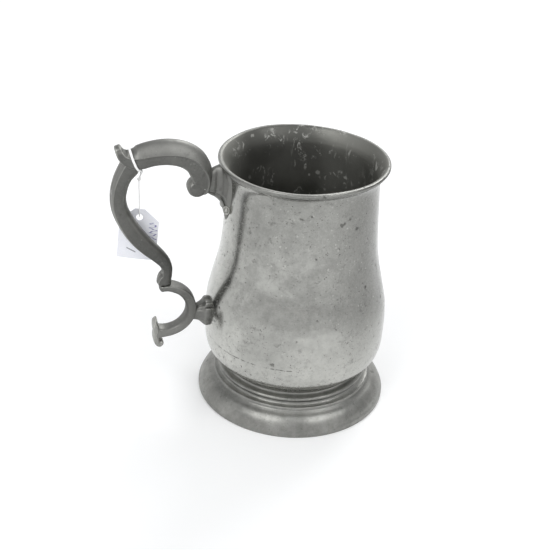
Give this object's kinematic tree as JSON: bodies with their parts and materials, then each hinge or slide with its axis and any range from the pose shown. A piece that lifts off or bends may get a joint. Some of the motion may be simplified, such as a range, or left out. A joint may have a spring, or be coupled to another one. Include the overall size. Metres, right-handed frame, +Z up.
{
  "type": "pewter tankard",
  "caption": "Lidless bulbous pewter quart mug on a flared moulded foot, with a broken double-scroll handle and a card tag tied to it.",
  "frame": {"origin": "under the middle of the tankard's own box (tag and thread left out), on the plane that the foot rests on", "axes": "+Z up; the handle runs out along -X in the plane y = 0; +Y is the side on which the tag hangs"},
  "size_m": [0.1794, 0.123, 0.1815],
  "materials": {
    "pewter": "aged pewter, satin, with fine dark pits and scratches",
    "old_pewter": "aged pewter with a darker patina, satin",
    "card_stock": "matt white card",
    "thread_white": "white cotton thread"
  },
  "bodies": {
    "tankard": {"upper_body": "pewter", "lower_body": "pewter", "base_disc": "pewter", "foot_ring": "pewter", "upper_scroll": "old_pewter", "grip_scroll": "old_pewter", "tail_scroll": "old_pewter", "upper_strut": "old_pewter", "lower_strut": "old_pewter", "tag_loop": "thread_white"},
    "tag": {"tag_string": "thread_white", "tag_card": "card_stock"}
  },
  "joints": [
    {"name": "tag_swing", "type": "hinge", "parent": "tankard", "child": "tag", "pos_m": [-0.07235, 0, 0.157], "axis": [1, 0, 0], "range_deg": [0, 55]}
  ]
}
